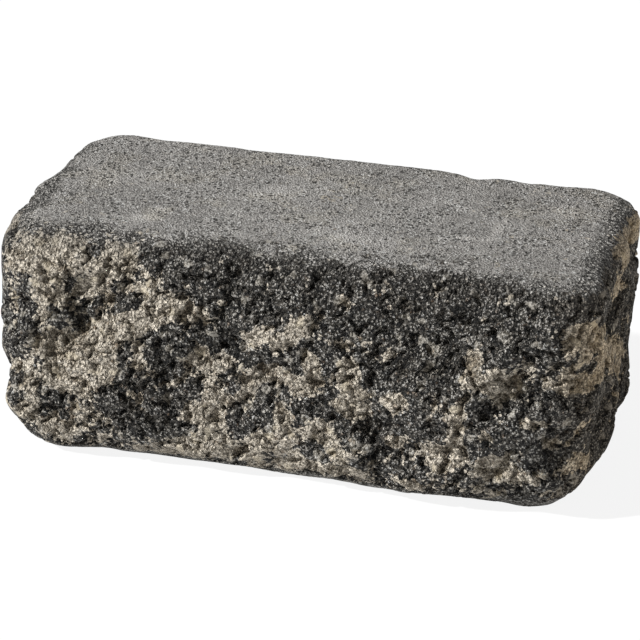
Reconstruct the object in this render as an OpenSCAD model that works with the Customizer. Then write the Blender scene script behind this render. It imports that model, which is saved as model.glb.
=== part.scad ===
// Tumbled garden wall block
//
// One piece of dry-cast concrete for low garden walls.
// The bed and the top are moulded flat. The front, the back and both ends are split, and
// tumbling has worn the upright corners and the arrises round.
// The origin is at the middle of the bed, with X along the wall, Y from front to back and Z up.

/* [Block] */
// Overall length along the wall
block_length = 300; // [260:5:340]
// Overall depth from the front to the back
block_depth = 150; // [130:5:180]
// Overall height from the bed to the top
block_height = 120; // [100:5:140]
// Plan radius of the four upright corners
corner_radius = 28; // [20:1:36]

/* [Worn arrises] */
// How far in from the front the wear meets the top
top_wear_front = 18; // [12:1:24]
// How far in from the back the wear meets the top
top_wear_back = 11; // [6:1:24]
// How far in from either end the wear meets the top
top_wear_ends = 13; // [8:1:24]
// How far down the sides the wear of the top arris reaches
top_wear_down = 16; // [12:1:26]
// How far in from the sides the wear meets the bed
bed_wear_in = 20; // [12:1:24]
// How far up the sides the wear of the bed arris reaches
bed_wear_up = 32; // [20:1:40]
// Turn of the worn edge, in degrees, where it meets the rim of the top or the bed
wear_turn = 68; // [58:1:74]

/* [Split faces] */
// Depth of the broad swells of the split
swell_depth = 4; // [0:0.5:6]
// Spacing of the broad swells
swell_size = 56; // [44:2:80]
// Depth of the hollows between lumps
lump_depth = 4; // [0:0.5:6]
// Spacing of the lumps
lump_size = 27; // [20:1:36]
// Depth of the hollows between knobs
knob_depth = 4; // [0:0.25:4.5]
// Spacing of the knobs
knob_size = 14; // [12:1:18]
// Choice of the random pattern
pattern = 16; // [1:1:40]

/* [Chips] */
// Depth of a full chip, which the smaller chips take a share of
chip_depth = 7; // [0:0.5:9]
// Reach of a full chip from its middle, which each chip takes its own shares of
chip_reach = 20; // [12:1:24]

/* [Facets] */
// Points round every ring of the loft
ring_points = 192; // [96:8:192]
// Rings up the worn arris of the bed
bed_rings = 7; // [5:1:8]
// Rings up the split sides
side_rings = 14; // [8:1:15]
// Rings up the worn arris of the top
top_rings = 6; // [5:1:7]

/* [Hidden] */

concrete_grey = [0.38, 0.37, 0.35];

half_length = block_length / 2;
half_depth = block_depth / 2;

// Half lengths of the straight runs between the upright corners
run_x = half_length - corner_radius;
run_y = half_depth - corner_radius;
// Length of one corner arc, and of a quarter of the way round the plan
corner_arc = corner_radius * PI / 2;
quarter_way = run_x + corner_arc + run_y;

// The core is the upright rectangle, this far inside, that every side is worn in towards
core_depth = 52;
core_x = half_length - core_depth;
core_y = half_depth - core_depth;

// The worn arrises stop short of the flats by the height of a ragged rim
rim_height = 1;
// Share of the split relief that tumbling has left at the rims
rim_share = 0.5;
// End rings close the loft, this far past the flats and this far in from the rims, and the
// loft is then trimmed back to the flats
end_past = 3;
end_in = 11;

// Heights between which the sides stand upright
side_bottom = bed_wear_up;
side_top = block_height - top_wear_down;

// Angles that set the axes of the random lattices askew to the faces
lattice_tip = 37;
lattice_twist = 52;
// Whole steps that keep the lattice numbers of the block above zero
lattice_start = 64;
// How far the lumps and knobs drift off their lattices, as a share of the lump spacing
drift_share = 0.7;
// How much the middle range of a field is stretched, so that tumbling flattens the rest
contrast = 1.6;

// Chips, each as [place, reach, share of the full depth].
// A place is given in shares of the half length, the half depth and the height, and a
// reach in shares of the full reach along X, Y and Z.
CHIPS = [
    // Back arris of the top
    [[0.42, 1.00, 1.00], [0.6, 1.1, 0.8], 1.00],
    [[0.58, 1.00, 1.00], [0.4, 1.0, 0.7], 0.55],
    [[-0.08, 1.00, 1.00], [0.6, 0.9, 0.7], 0.50],
    // Back left corner of the top
    [[-0.94, 0.86, 1.00], [0.7, 0.7, 1.0], 0.45],
    // Front arris of the top
    [[0.36, -0.80, 1.00], [0.8, 0.7, 0.7], 0.45],
    // Hollows of the front face
    [[-0.67, -1.00, 0.78], [0.7, 1.0, 0.6], 0.75],
    [[-0.52, -1.00, 0.84], [1.0, 0.9, 0.5], 0.50],
    [[-0.17, -1.00, 0.63], [0.9, 1.0, 0.6], 0.60],
    [[-0.52, -1.00, 0.42], [0.8, 1.0, 0.6], 0.55],
    [[0.30, -1.00, 0.38], [1.0, 1.1, 0.7], 0.55],
    [[0.70, -1.00, 0.49], [0.7, 1.0, 0.6], 0.80],
    [[0.52, -1.00, 0.72], [1.1, 1.0, 0.5], 0.45],
    // Front right corner of the bed
    [[0.78, -0.92, 0.00], [2.2, 1.4, 1.2], 0.70],
    // Right end
    [[1.00, 0.30, 0.30], [1.0, 0.9, 0.5], 0.35],
    [[1.00, -0.10, 0.66], [1.0, 1.0, 0.7], 0.55],
    // Left end
    [[-1.00, 0.10, 0.34], [1.0, 1.1, 0.7], 0.60],
    // Back face
    [[-0.45, 1.00, 0.40], [1.2, 1.0, 0.7], 0.60],
    [[0.28, 1.00, 0.55], [1.0, 1.0, 0.8], 0.65],
];

// Blend from one value to another
function blend(from, to, share) = from + (to - from) * share;

// Smooth rise from 0 to 1
function ease(share) = share * share * (3 - 2 * share);

// Value kept between two limits
function within(value, low, high) = max(low, min(high, value));

// Number from 0 to 1 that belongs to one corner of a random lattice
function corner_value(i, j, k, salt) =
    let (mixed = (137 * i + 5519 * j + 3371 * k + 977 * salt + 60013 * pattern) % 9973)
    let (stirred = (61 * mixed * mixed + 17 * mixed + 4391) % 9973)
    let (shaken = (29 * stirred * stirred + 211 * stirred + 7) % 9973)
    shaken / 9973;

// A place seen along the askew axes of the random lattices
function askew(place) =
    let (tipped = place.x * cos(lattice_tip) - place.z * sin(lattice_tip))
    let (raised = place.x * sin(lattice_tip) + place.z * cos(lattice_tip))
    let (along = tipped * cos(lattice_twist) - place.y * sin(lattice_twist))
    let (aside = tipped * sin(lattice_twist) + place.y * cos(lattice_twist))
    [along, aside, raised];

// Smooth random field of space from 0 to 1, whose lattice has this spacing
function field(place, spacing, salt) =
    let (steps = askew(place) / spacing)
    let (i = floor(steps.x))
    let (j = floor(steps.y))
    let (k = floor(steps.z))
    let (u = ease(steps.x - i))
    let (v = ease(steps.y - j))
    let (w = ease(steps.z - k))
    blend(
        blend(field_edge(i, j, k, u, salt), field_edge(i, j + 1, k, u, salt), v),
        blend(field_edge(i, j, k + 1, u, salt), field_edge(i, j + 1, k + 1, u, salt), v),
        w
    );

// Value of a field along one edge of a lattice cell
function field_edge(i, j, k, share, salt) =
    let (near = corner_value(i + lattice_start, j + lattice_start, k + lattice_start, salt))
    let (far = corner_value(i + 1 + lattice_start, j + lattice_start, k + lattice_start, salt))
    blend(near, far, share);

// Field value with its middle range stretched and both ends flattened
function stark(value) = within(contrast * (value - 0.5) + 0.5, 0, 1);

// Depth taken off by one chip at a place
function chip_cut(place, chip) =
    let (centre = [chip[0].x * half_length, chip[0].y * half_depth, chip[0].z * block_height])
    let (gap = (place - centre) / chip_reach)
    let (away = norm([gap.x / chip[1].x, gap.y / chip[1].y, gap.z / chip[1].z]))
    away < 1 ? chip_depth * chip[2] * ease(1 - away) : 0;

// Depth taken off by all the chips from this one on
function chips_cut(place, first = 0) =
    first == len(CHIPS) ? 0 : chip_cut(place, CHIPS[first]) + chips_cut(place, first + 1);

// Depth of the split relief at a place: swells, then lumps, then knobs
function split_cut(place) =
    let (drift = [for (salt = [4, 5, 6]) drift_share * lump_size * field(place, lump_size, salt)])
    let (swell = stark(field(place, swell_size, 1)))
    let (lump = stark(field(place + drift, lump_size, 2)))
    let (knob = stark(field(place + drift, knob_size, 3)))
    swell_depth * swell + lump_depth * lump + knob_depth * knob;

// How far the wear of the top arris reaches in, by the way that the side faces
function top_wear(way) =
    blend(top_wear_ends, way.y < 0 ? top_wear_front : top_wear_back, way.y * way.y);

// How far the wear reaches in at the flat that a turn leads to
function wear_reach(way, turn) = turn > 0 ? top_wear(way) : bed_wear_in;

// Point on the first quarter of the unworn plan, this far round from the middle of the back
function quarter_point(far) =
    far < run_x ? [far, half_depth] :
    far < run_x + corner_arc ?
        let (turn = 90 * (far - run_x) / corner_arc)
        [run_x + corner_radius * sin(turn), run_y + corner_radius * cos(turn)] :
    [half_length, run_y - (far - run_x - corner_arc)];

// Point of the unworn plan at a share of the way round, clockwise seen from above
function plan_point(share) =
    let (quarter = floor(4 * share))
    let (far = (4 * share - quarter) * quarter_way)
    let (near = quarter % 2 == 0 ? quarter_point(far) : quarter_point(quarter_way - far))
    [quarter < 2 ? near.x : -near.x, quarter == 0 || quarter == 3 ? near.y : -near.y];

// Direction out from the core at a point of the plan
function way_out(point) =
    let (core = [within(point.x, -core_x, core_x), within(point.y, -core_y, core_y)])
    (point - core) / norm(point - core);

// One point of the worn and split skin
function skin_point(point, level) =
    let (way = way_out(point))
    let (wear = (1 - cos(level[0])) / (1 - cos(wear_turn)))
    let (foot = point - way * wear * wear_reach(way, level[0]))
    let (place = [foot.x, foot.y, level[1]])
    let (cut = blend(1, rim_share, wear) * split_cut(place) + chips_cut(place))
    [foot.x - way.x * cut, foot.y - way.y * cut, level[1]];

// One point of an end ring, in from the rim at a level and at a height past the flat
function end_point(point, level, height) =
    let (way = way_out(point))
    let (rim = skin_point(point, level))
    [rim.x - way.x * end_in, rim.y - way.y * end_in, height];

// Levels of the loft, each as [turn of the wear, height]. The turn is negative by the bed.
LEVELS = [
    for (ring = [0 : bed_rings - 1])
        let (turn = wear_turn * (bed_rings - ring) / bed_rings)
        [-turn, blend(side_bottom, rim_height, sin(turn) / sin(wear_turn))],
    for (ring = [0 : side_rings])
        [0, blend(side_bottom, side_top, ring / side_rings)],
    for (ring = [1 : top_rings])
        let (turn = wear_turn * ring / top_rings)
        [turn, blend(side_top, block_height - rim_height, sin(turn) / sin(wear_turn))],
];
BED_RIM = LEVELS[0];
TOP_RIM = LEVELS[len(LEVELS) - 1];

// Plan outline of the block before it is worn
PLAN = [for (i = [0 : ring_points - 1]) plan_point(i / ring_points)];

// Rings of the loft, before they are brought to the overall sizes
ROUGH_RINGS = [
    [for (point = PLAN) end_point(point, BED_RIM, -end_past)],
    for (level = LEVELS)
        [for (point = PLAN) skin_point(point, level)],
    [for (point = PLAN) end_point(point, TOP_RIM, block_height + end_past)],
];
ring_count = len(ROUGH_RINGS);

// Lowest and highest value of one coordinate over the rough rings
function spread(axis) =
    let (lows = [for (ring = ROUGH_RINGS) min([for (point = ring) point[axis]])])
    let (highs = [for (ring = ROUGH_RINGS) max([for (point = ring) point[axis]])])
    [min(lows), max(highs)];

SPREAD_X = spread(0);
SPREAD_Y = spread(1);

// A coordinate brought from the rough spread to the overall size, centred on the origin
function sized(value, ends, size) = size * ((value - ends[0]) / (ends[1] - ends[0]) - 0.5);

// All the points of the loft, ring after ring, and then the middles of its two ends
SKIN = [
    for (ring = ROUGH_RINGS)
        for (point = ring)
            [sized(point.x, SPREAD_X, block_length), sized(point.y, SPREAD_Y, block_depth), point.z],
];
END_MIDDLES = [[0, 0, -end_past], [0, 0, block_height + end_past]];
low_middle = len(SKIN);
high_middle = low_middle + 1;

// Number of a point on a ring, counted past the end of the ring back to its start
function at(ring, i) = ring * ring_points + i % ring_points;

// Two triangles of a cell between two rings, split along its shorter diagonal
function cell_faces(ring, i) =
    let (a = at(ring, i))
    let (b = at(ring, i + 1))
    let (c = at(ring + 1, i + 1))
    let (d = at(ring + 1, i))
    norm(SKIN[a] - SKIN[c]) < norm(SKIN[b] - SKIN[d]) ? [[a, b, c], [a, c, d]] : [[a, b, d], [b, c, d]];

BAND_FACES = [
    for (ring = [0 : ring_count - 2])
        for (i = [0 : ring_points - 1])
            each cell_faces(ring, i),
];

// Fans that close the two ends of the loft
END_FACES = [
    for (i = [0 : ring_points - 1])
        each [
            [low_middle, at(0, i + 1), at(0, i)],
            [high_middle, at(ring_count - 1, i), at(ring_count - 1, i + 1)],
        ],
];

// The loft, worn and split all round and a little too tall at both ends
module split_body() {
    polyhedron(
        points = concat(SKIN, END_MIDDLES),
        faces = concat(BAND_FACES, END_FACES),
        convexity = 6
    );
}

// The space between the moulded bed and the moulded top
module moulded_height() {
    translate([-block_length, -block_depth, 0])
        cube([2 * block_length, 2 * block_depth, block_height]);
}

// The whole block
module garden_wall_block() {
    color(concrete_grey)
        intersection() {
            split_body();
            moulded_height();
        }
}

garden_wall_block();
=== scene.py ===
"""Looks of the tumbled garden wall block: its six dressed faces, its concrete, and the studio round it."""

import logging
import math
from dataclasses import dataclass
from enum import Enum, IntEnum
from typing import Callable, Dict, List, Sequence, Tuple, Union

import bpy
import numpy as np
from mathutils import Matrix, Vector

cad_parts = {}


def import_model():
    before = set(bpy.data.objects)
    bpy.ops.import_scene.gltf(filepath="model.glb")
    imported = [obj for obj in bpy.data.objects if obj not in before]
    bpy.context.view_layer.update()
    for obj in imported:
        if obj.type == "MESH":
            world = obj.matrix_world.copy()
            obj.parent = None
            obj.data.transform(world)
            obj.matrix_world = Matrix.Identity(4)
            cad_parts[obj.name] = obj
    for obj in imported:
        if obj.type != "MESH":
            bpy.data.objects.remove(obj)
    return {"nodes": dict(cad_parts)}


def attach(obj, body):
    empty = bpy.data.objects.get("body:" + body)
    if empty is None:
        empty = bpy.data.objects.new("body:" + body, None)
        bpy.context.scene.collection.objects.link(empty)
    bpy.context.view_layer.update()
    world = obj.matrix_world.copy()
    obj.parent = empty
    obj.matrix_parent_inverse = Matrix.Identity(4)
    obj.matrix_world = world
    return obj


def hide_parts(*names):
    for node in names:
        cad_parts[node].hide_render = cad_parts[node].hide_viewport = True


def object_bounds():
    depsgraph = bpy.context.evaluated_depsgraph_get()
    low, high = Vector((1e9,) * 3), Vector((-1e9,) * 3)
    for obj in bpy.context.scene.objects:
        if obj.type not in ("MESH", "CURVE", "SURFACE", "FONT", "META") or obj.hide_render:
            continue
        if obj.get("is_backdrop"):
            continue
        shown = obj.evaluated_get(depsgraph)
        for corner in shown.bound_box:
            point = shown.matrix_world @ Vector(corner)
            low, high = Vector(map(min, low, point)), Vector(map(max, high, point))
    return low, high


log = logging.getLogger("garden_wall_block")

NODE = "garden_wall_block"
SLOT = "mottled_concrete"
MM = 0.001

FACING = (0.3, 0.8)  # a side's marks fade in as its way out comes round between these shares
TOP_BAND = 116.0  # height that the marks of the top fade in above, in millimetres
TOP_BAND_DEPTH = 4.0

Colour = Tuple[float, float, float, float]
GREY = (0.5, 0.5, 0.5)


# ---------------------------------------------------------------- random fields


class Salt(IntEnum):
    """What is added to the seed for each random field, so that no two are alike."""

    DRIFT = 0
    LUMP = 10
    KNOB = 15
    STONE = 20
    GRIT = 30
    PORE = 40
    SWELL = 50
    SPLIT = 60
    BLOTCH = 70
    STREAK = 90
    FLECK = 95
    FRAY = 110


def lattice_random(i: np.ndarray, j: np.ndarray, k: np.ndarray, salt: int) -> np.ndarray:
    """Numbers from 0 to 1 that belong to whole-number lattice corners.

    The three corner numbers are multiplied by large odd numbers, joined bit by bit and then
    stirred twice by a shift and a product.

    Args:
        i: Lattice numbers along X.
        j: Lattice numbers along Y.
        k: Lattice numbers along Z.
        salt: Seed that tells one field from another.

    Returns:
        One number for each corner.
    """
    mixed = i.astype(np.uint32) * np.uint32(0x8DA6B343)
    mixed = mixed ^ (j.astype(np.uint32) * np.uint32(0xD8163841))
    mixed = mixed ^ (k.astype(np.uint32) * np.uint32(0xCB1AB31F))
    mixed = mixed ^ np.uint32((salt * 2654435761) % 4294967296)
    mixed = (mixed ^ (mixed >> np.uint32(15))) * np.uint32(0x2C1B3C6D)
    mixed = (mixed ^ (mixed >> np.uint32(12))) * np.uint32(0x297A2D39)
    mixed = mixed ^ (mixed >> np.uint32(15))
    return (mixed >> np.uint32(8)).astype(np.float32) * np.float32(1.0 / 16777216.0)


def smooth_field(places: np.ndarray, spacing: float, salt: int) -> np.ndarray:
    """Smooth random field of space from 0 to 1.

    The eight corner numbers of each lattice cell are blended by 6t^5 - 15t^4 + 10t^3.

    Args:
        places: Points, in millimetres, as an array that ends in 3.
        spacing: Lattice spacing in millimetres.
        salt: Seed of the field.

    Returns:
        The field at each point.
    """
    steps = places.astype(np.float32) / np.float32(spacing)
    cell = np.floor(steps)
    t = steps - cell
    cell = cell.astype(np.int32)
    t = t * t * t * (t * (t * 6 - 15) + 10)
    i, j, k = cell[..., 0], cell[..., 1], cell[..., 2]
    u, v, w = t[..., 0], t[..., 1], t[..., 2]
    total = np.zeros(i.shape, np.float32)
    for di in (0, 1):
        for dj in (0, 1):
            for dk in (0, 1):
                share = (u if di else 1 - u) * (v if dj else 1 - v) * (w if dk else 1 - w)
                total += share * lattice_random(i + di, j + dj, k + dk, salt)
    return total


def rough_field(places: np.ndarray, spacing: float, salt: int, octaves: int = 3) -> np.ndarray:
    """Sum of smooth fields, each of half the spacing and half the weight of the last.

    Args:
        places: Points in millimetres.
        spacing: Spacing of the widest field in millimetres.
        salt: Seed of the first field.
        octaves: How many fields are summed.

    Returns:
        The weighted mean, from 0 to 1.
    """
    total = np.zeros(places.shape[:-1], np.float32)
    weight = 0.0
    for octave in range(octaves):
        share = 0.5**octave
        total += share * smooth_field(places, spacing * share, salt + octave)
        weight += share
    return total / weight


def drift_field(places: np.ndarray, spacing: float, salt: int, step: int = 1, octaves: int = 1) -> np.ndarray:
    """Three rough fields side by side, from -0.5 to 0.5, by which points can be moved.

    Args:
        places: Points in millimetres.
        spacing: Spacing of the widest fields in millimetres.
        salt: Seed of the first field.
        step: What is added to the seed from one to the next.
        octaves: How many fields are summed in each.

    Returns:
        The fields, as an array that ends in 3.
    """
    return np.stack([rough_field(places, spacing, salt + n * step, octaves) for n in range(3)], -1) - 0.5


@dataclass(frozen=True)
class Grains:
    """Where each point lies among stones that are scattered one to a lattice cell."""

    near: np.ndarray  # distance to the nearest stone's middle, in lattice spacings
    tone: np.ndarray  # number from 0 to 1 that belongs to the nearest stone
    lift: np.ndarray  # another such number


def scatter_grains(places: np.ndarray, spacing: float, salt: int) -> Grains:
    """Finds the nearest of stones scattered one to a lattice cell.

    The 27 cells round each point are tried in turn, and the nearest middle is kept.

    Args:
        places: Points in millimetres.
        spacing: Lattice spacing in millimetres.
        salt: Seed of the scatter.

    Returns:
        The distance to the nearest stone, and the numbers that belong to it.
    """
    steps = places.astype(np.float32) / np.float32(spacing)
    cell = np.floor(steps).astype(np.int32)
    best = np.full(cell.shape[:-1], np.inf, np.float32)
    tone = np.zeros_like(best)
    lift = np.zeros_like(best)
    for di in (-1, 0, 1):
        for dj in (-1, 0, 1):
            for dk in (-1, 0, 1):
                i, j, k = cell[..., 0] + di, cell[..., 1] + dj, cell[..., 2] + dk
                ax = i + lattice_random(i, j, k, salt) - steps[..., 0]
                ay = j + lattice_random(i, j, k, salt + 1) - steps[..., 1]
                az = k + lattice_random(i, j, k, salt + 2) - steps[..., 2]
                away = ax * ax + ay * ay + az * az
                nearer = away < best
                best = np.where(nearer, away, best)
                tone = np.where(nearer, lattice_random(i, j, k, salt + 3), tone)
                lift = np.where(nearer, lattice_random(i, j, k, salt + 4), lift)
    return Grains(near=np.sqrt(best), tone=tone, lift=lift)


def askew(places: np.ndarray, turn: float, tip: float) -> np.ndarray:
    """Points turned about Z and then tipped about X, so that no lattice lines up with a face.

    Args:
        places: Points in millimetres.
        turn: Angle about Z in degrees.
        tip: Angle about X in degrees.

    Returns:
        The turned points.
    """
    c, s = math.cos(math.radians(turn)), math.sin(math.radians(turn))
    d, t = math.cos(math.radians(tip)), math.sin(math.radians(tip))
    return places @ np.array([[c, s * d, s * t], [-s, c * d, c * t], [0.0, -t, d]])


def rise(value: np.ndarray, low: float, high: float) -> np.ndarray:
    """Smooth rise from 0 at low to 1 at high."""
    t = np.clip((value - low) / (high - low), 0.0, 1.0)
    return t * t * (3.0 - 2.0 * t)


# ---------------------------------------------------------------- listed marks


class Side(Enum):
    """The side of the block that a listed mark lies on."""

    FRONT = "front"
    RIGHT = "right"
    TOP = "top"


@dataclass(frozen=True)
class Mark:
    """An oval mark on one side: a blotch of cement, a hollow or a pale scuff, in millimetres."""

    side: Side
    along: float  # X on the front and the top, Y on the right end
    up: float  # height above the bed, or Y on the top
    half_long: float
    half_high: float
    weight: float = 1.0  # strength of a blotch, or depth of a hollow in millimetres
    tilt: float = 0.0  # degrees, anticlockwise as seen from outside


def marks_on(side: Side, *rows: Tuple[float, ...]) -> Tuple[Mark, ...]:
    """Marks on one side from rows of along, up, half length, half height, weight and tilt."""
    return tuple(Mark(side, *row) for row in rows)


# Cream cement on the front and the right end.
CREAM: Sequence[Mark] = marks_on(
    Side.FRONT,
    # the blotches, from the left end to the right
    (-128, 112, 14, 8, 0.7), (-117, 103, 12, 4), (-105, 112, 7, 7, 0.7), (-86, 113, 5, 8, 0.9),
    (-70, 107, 6, 7, 0.8), (-61, 97, 7, 10, 0.9), (-56, 88, 7, 5, 0.8, 20), (-72, 84, 14, 6, 1.0, 30),
    (-86, 73, 13, 7, 1.0, 32), (-97, 64, 9, 5, 0.8, 10), (-75, 64, 7, 9, 0.7), (-94, 54, 12, 6, 0.8),
    (-109, 47, 12, 6, 1.1), (-119, 58, 7, 6, 0.5), (-120, 90, 4, 5, 0.9), (-127, 75, 6, 8, 0.4),
    (-112, 68, 5, 4, 0.6), (-72, 40, 4, 7, 0.6, 20), (-52, 52, 9, 3, 0.9, 28), (-115, 17, 9, 5, 0.9),
    (-131, 27, 6, 6, 0.5), (-60, 11, 16, 7, 0.9), (-5, 10, 24, 6, 0.8), (100, 12, 16, 5, 0.7),
    (38, 8, 12, 4, 0.5), (-44, 19, 10, 5, 0.8), (-50, 33, 7, 3, 0.7, 30), (-35, 47, 6, 13, 1.1, -12),
    (-27, 57, 6, 7, 0.7), (-42, 66, 6, 4, 0.6, 30), (-32, 32, 9, 5, 0.9), (-32, 21, 9, 6, 0.8),
    (-12, 27, 11, 8), (1, 42, 7, 10, 1.1, -30), (6, 22, 11, 7, 0.8), (-20, 57, 9, 4, 0.9, 20), (-5, 62, 8, 4),
    (10, 57, 9, 4, 1.0, 18), (0, 87, 13, 5, 1.0, 24), (-15, 82, 6, 4, 0.8), (9, 93, 4, 7, 0.8),
    (16, 72, 5, 7, 0.9, 20), (33, 68, 11, 5, 1.1, -62), (35, 50, 7, 6, 0.9), (52, 57, 11, 4, 0.9, -8),
    (20, 38, 8, 6, 0.9), (29, 27, 10, 6, 0.9), (34, 16, 12, 4, 0.6), (68, 56, 6, 6, 0.6), (78, 57, 5, 5, 0.9),
    (86, 55, 5, 7, 0.8), (92, 79, 5, 9), (109, 74, 8, 6, 0.8), (103, 84, 8, 3, 0.5), (121, 84, 11, 4, 0.6),
    (99, 107, 12, 4, 0.6, 60), (120, 54, 9, 3, 0.7), (79, 37, 9, 5), (89, 42, 6, 4, 0.7),
    (76, 27, 10, 5, 0.8), (60, 33, 9, 5, 0.5), (101, 33, 9, 4, 0.6), (110, 26, 8, 4, 0.9),
    (124, 27, 6, 4, 0.7), (60, 15, 14, 4, 0.4), (140, 45, 5, 14, 0.7),
    # the small ones that break up their edges
    (138, 86, 4, 9, 0.5), (-89, 104, 13, 4, 0.9, 60), (-98, 94, 7, 3, 0.8, 25), (-74, 97, 6, 3, 0.6),
    (-44, 91, 9, 4, 0.9, -40), (-27, 98, 5, 3, 0.6), (-119, 63, 5, 5, 0.8), (-73, 57, 4, 3, 0.7),
    (-20, 49, 12, 3, 0.9, 35), (-5, 60, 4, 4, 0.8), (6, 62, 7, 3), (13, 71, 3, 8, 0.9), (3, 80, 5, 3, 0.8),
    (28, 85, 10, 3, 0.7), (35, 64, 3, 6, 0.9), (34, 49, 8, 3, 0.9), (52, 80, 4, 6, 0.6, -30),
    (97, 77, 4, 6, 0.9), (107, 70, 6, 6, 1.1), (101, 45, 4, 3, 0.7), (87, 52, 4, 7), (103, 29, 7, 5, 0.9),
    (115, 22, 4, 4, 0.7), (54, 34, 4, 3, 0.8), (20, 33, 3, 6, 0.8), (-1, 37, 3, 8, 0.9), (62, 14, 6, 3, 0.8),
    (128, 56, 8, 3, 0.7, 30), (131, 43, 4, 3, 0.6), (-117, 58, 5, 4, 0.9), (-5, 62, 4, 4, 0.8),
    (32, 50, 4, 4, 0.7), (108, 70, 3, 5, 0.7), (105, 30, 8, 5, 0.6, 20), (130, 43, 3, 3, 0.8),
    (-46, 63, 4, 4, 0.8), (-30, 68, 8, 4, 0.6), (32, 50, 6, 3, 0.8), (34, 68, 3, 5, 0.7), (57, 57, 4, 5, 0.8),
    (91, 80, 3, 4), (108, 68, 3, 8, 0.9, -15), (-46, 36, 3, 5, 0.7), (-34, 42, 5, 6, 0.7),
    (24, 14, 12, 3, 0.9), (-38, 14, 10, 3, 0.6), (-118, 101, 8, 2, 0.8), (-77, 113, 4, 5, 0.8),
    (30, 104, 3, 6, 0.6), (10, 110, 3, 4, 0.5), (-97, 32, 5, 3, 0.5, 40), (-113, 40, 4, 4, 0.5),
    (80, 27, 3, 4, 0.6),
) + marks_on(
    Side.RIGHT,
    (-62, 96, 12, 6, 0.8, -25), (-52, 73, 14, 4, 1.1, -10), (10, 47, 14, 4, 1.0, -30),
    (22, 112, 20, 8, 1.0, -10), (6, 97, 12, 4, 0.8, -25), (30, 112, 30, 7, 1.1, -16),
    (-58, 98, 14, 4, 1.0, -40), (-44, 80, 13, 5, 1.1, -48), (-28, 92, 3, 12, 1.1, -10),
    (-18, 71, 17, 6, 1.2, -32), (16, 57, 22, 5, 1.3, -30), (-68, 76, 8, 3, 1.0, -10),
    (2, 98, 14, 3, 0.6, -34), (-62, 27, 5, 3, 0.7, -20), (-46, 26, 12, 4, 0.8, -20),
    (10, 34, 22, 3, 0.9, -30), (20, 44, 9, 3, 1.0, -30), (24, 54, 8, 3, 0.7, -20), (-55, 71, 14, 3, 0.7, -8),
    (-42, 95, 9, 3, 0.7, -20), (10, 92, 14, 3, 0.7, -16), (-58, 52, 7, 3, 0.5),
)

# Charcoal cement that cuts into the cream.
CHARCOAL: Sequence[Mark] = marks_on(
    Side.FRONT,
    (-128, 80, 5, 10, 0.7), (-66, 113, 5, 4, 0.8), (-58, 96, 5, 3, 0.6), (-80, 88, 5, 3, 0.7, 40),
    (-80, 54, 3, 10, 0.9), (-97, 52, 6, 6, 0.8, -30), (-128, 71, 4, 4, 0.7), (-80, 36, 4, 3, 0.8),
    (-25, 74, 3, 6, 0.6), (14, 79, 7, 4, 0.5), (2, 17, 4, 4, 0.6), (-123, 53, 4, 4, 0.4),
    (-27, 55, 6, 6, 1.1), (-21, 31, 7, 6, 0.9), (-8, 38, 3, 9, 1.0, 10), (12, 44, 7, 4, 0.9),
    (0, 52, 4, 3, 0.5), (16, 24, 5, 4, 0.8), (34, 33, 6, 5, 0.7), (67, 60, 4, 9, 1.1),
    (81, 60, 3, 10, 1.1, -20), (64, 76, 4, 6, 0.6), (53, 40, 4, 3, 0.7), (67, 98, 4, 9, 0.9), (76, 88, 4, 4),
    (17, 22, 4, 4, 0.8), (-75, 64, 3, 5, 0.7), (35, 88, 6, 2, 0.7), (101, 84, 4, 4, 0.7), (72, 41, 6, 4, 0.7),
    (93, 41, 3, 8, 1.1), (88, 98, 6, 4), (106, 99, 5, 4, 1.3), (98, 110, 5, 4, 0.6), (27, 77, 3, 4, 0.8),
    (10, 91, 3, 5, 0.6), (-12, 88, 6, 4, 0.6), (112, 88, 6, 4, 0.7), (124, 87, 4, 4, 0.7),
    (113, 60, 4, 5, 0.8), (128, 28, 6, 5, 0.6), (-53, 45, 6, 5, 0.6), (-55, 26, 5, 4, 0.4),
) + marks_on(
    Side.RIGHT,
    (-66, 58, 12, 5, 1.0, -10), (12, 24, 14, 4, 0.7), (-70, 40, 8, 6, 0.5),
)

# Places where a lump broke away deep.
HOLLOWS: Sequence[Mark] = marks_on(
    Side.FRONT,
    (-87, 91, 11, 5, 3.6, 35), (-103, 80, 6, 10, 2.2), (-61, 76, 13, 5, 2.6, 40), (-58, 56, 10, 5, 3.0, 10),
    (-42, 86, 6, 5, 2.2), (-26, 74, 7, 4, 2.6, -20), (-78, 45, 5, 9, 2.6, -20), (-62, 38, 8, 8, 2.0),
    (49, 42, 8, 5, 2.6), (45, 27, 4, 9, 2.4), (98, 56, 3, 5, 2.6), (66, 74, 18, 4, 2.4, 6),
    (85, 70, 4, 7, 2.4), (118, 67, 6, 5, 2.8), (115, 41, 9, 5, 2.2), (132, 40, 6, 11, 2.0),
    (14, 50, 9, 4, 2.2, 10), (22, 62, 5, 6, 1.8), (54, 106, 8, 5, 2.0, -20), (-27, 104, 8, 5, 1.8, -30),
    (-124, 66, 6, 5, 1.6),
) + marks_on(
    Side.RIGHT,
    (-20, 98, 9, 5, 2.0, -20), (20, 80, 10, 6, 2.4, -20), (-10, 42, 12, 6, 2.2, -20), (-60, 64, 8, 6, 2.0),
)

# Scuffs and pale patches on the top.
PALE: Sequence[Mark] = marks_on(
    Side.TOP,
    (88, 6, 16, 1.6, 0.8, 82), (74, -15, 14, 1.6, 0.8, 12), (64, 22, 10, 1.5, 0.4, -20),
    (-80, -35, 7, 4, 0.6, 20), (-75, -24, 5, 3, 0.5), (-30, 10, 26, 9, 0.25, 14), (20, -30, 30, 8, 0.2, -8),
    (-100, 10, 18, 10, 0.2, 20), (112, 30, 12, 8, 0.25, 40),
)


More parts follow.
